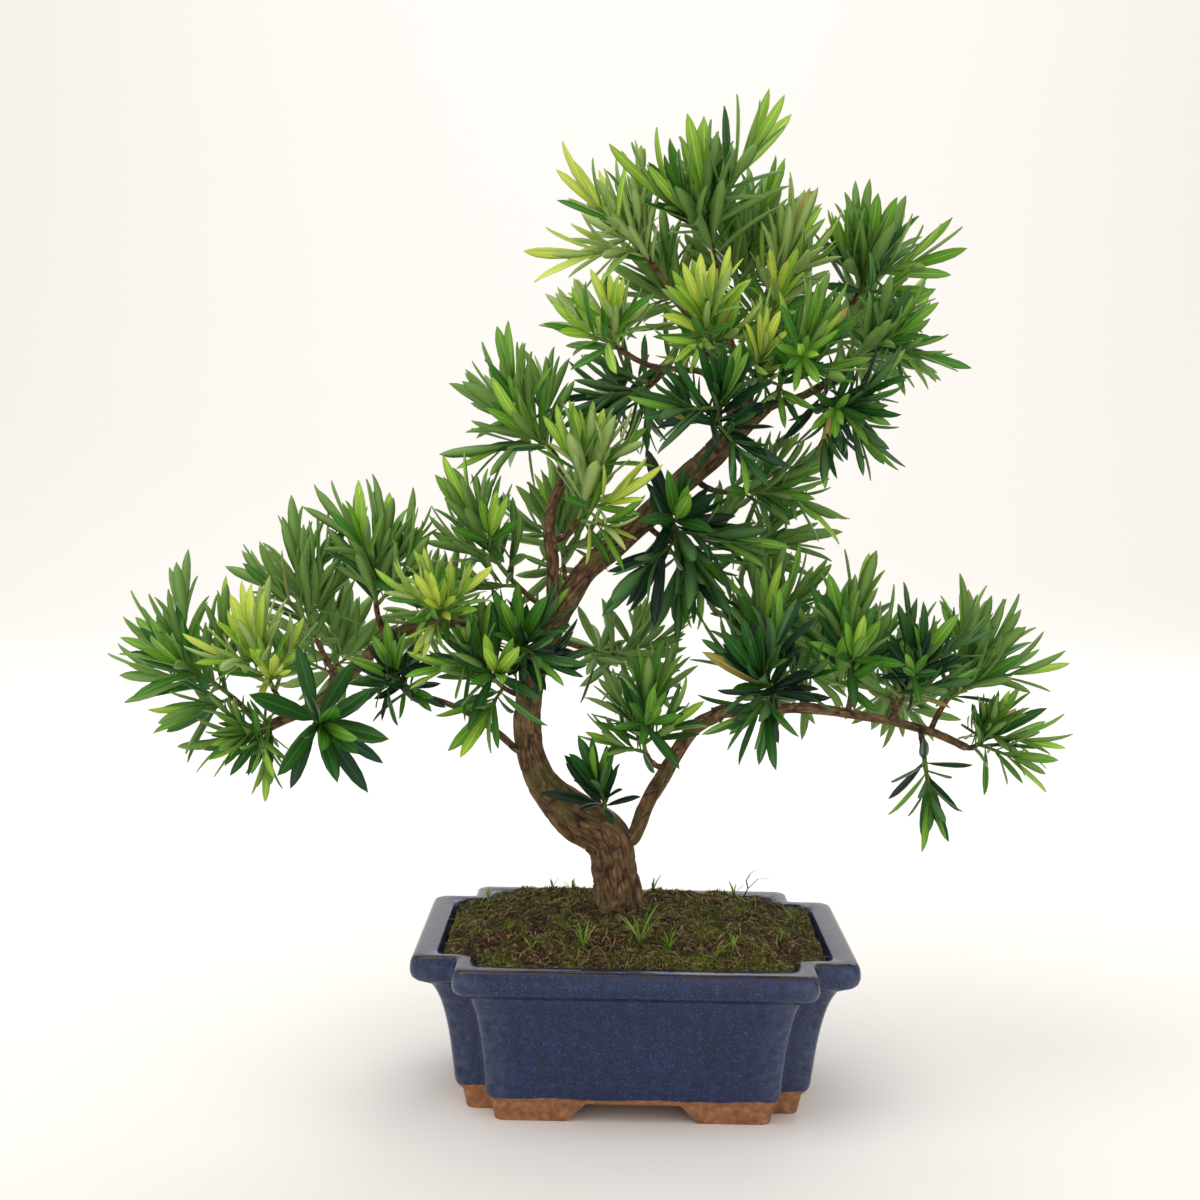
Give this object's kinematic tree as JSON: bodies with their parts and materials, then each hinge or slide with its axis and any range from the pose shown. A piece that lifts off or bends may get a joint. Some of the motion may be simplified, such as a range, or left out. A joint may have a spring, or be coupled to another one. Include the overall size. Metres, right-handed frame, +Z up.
{
  "type": "potted buddhist pine bonsai",
  "caption": "Small curved tree with strap-like leaves in upright tufts, growing in a glazed rectangular pot with notched corners.",
  "frame": {"origin": "on the surface that the pot stands on, under the middle of the whole plant's box", "axes": "+Z up along the trunk's general rise, +X to the right as the picture shows the plant, +Y to its back"},
  "size_m": [0.4264, 0.1954, 0.4474],
  "materials": {
    "cobalt_glaze": "gloss",
    "moss_and_soil": "matte",
    "bark": "matte",
    "leaf_young": "satin",
    "leaf_mid": "satin",
    "leaf_dark": "satin"
  },
  "bodies": {
    "root": {"pot": "cobalt_glaze", "soil": "moss_and_soil", "trunk": "bark", "bough_low_right": "bark", "bough_low_right_outer": "bark", "bough_left_thin": "bark", "bough_left": "bark", "bough_upper_left": "bark", "bough_crown_left": "bark", "bough_crown_top": "bark", "bough_crown_yellow": "bark", "bough_crown_right": "bark", "bough_crown_far": "bark", "foliage_crown_peak": "leaf_mid", "foliage_crown_peak_back": "leaf_mid", "foliage_crown_peak_left": "leaf_young", "foliage_crown_front": "leaf_young", "foliage_crown_heart": "leaf_young", "foliage_crown_right_peak": "leaf_mid", "foliage_crown_right_tip": "leaf_mid", "foliage_crown_young": "leaf_young", "foliage_crown_right_front": "leaf_mid", "foliage_crown_right_under": "leaf_dark", "foliage_crown_right_back": "leaf_mid", "foliage_crown_back": "leaf_mid", "foliage_crown_yellow_tip": "leaf_young", "foliage_crown_left_back": "leaf_mid", "foliage_crown_front_under": "leaf_dark", "foliage_crown_under_right": "leaf_mid", "foliage_crown_under_left": "leaf_dark", "foliage_centre_right": "leaf_mid", "foliage_upper_left_top": "leaf_young", "foliage_upper_left_tip": "leaf_mid", "foliage_upper_left_low": "leaf_mid", "foliage_upper_left_back": "leaf_mid", "foliage_left_far": "leaf_mid", "foliage_left_far_up": "leaf_young", "foliage_left_mid_up": "leaf_mid", "foliage_left_top": "leaf_mid", "foliage_left_young": "leaf_young", "foliage_left_star": "leaf_dark", "foliage_left_under": "leaf_mid", "foliage_left_back": "leaf_mid", "foliage_left_inner": "leaf_mid", "foliage_left_inner_up": "leaf_dark", "foliage_left_inner_back": "leaf_mid", "foliage_left_thin_tip": "leaf_dark", "foliage_fork_front": "leaf_dark", "foliage_fork_right": "leaf_mid", "foliage_centre_weeping": "leaf_dark", "foliage_right_inner_up": "leaf_mid", "foliage_right_front": "leaf_dark", "foliage_right_mid": "leaf_mid", "foliage_right_outer_mid": "leaf_dark", "foliage_right_outer_up": "leaf_mid", "foliage_right_tip": "leaf_mid", "foliage_right_pendant": "leaf_dark", "foliage_right_back": "leaf_mid", "foliage_right_outer_back": "leaf_mid", "foliage_centre_back": "leaf_mid"}
  },
  "joints": []
}
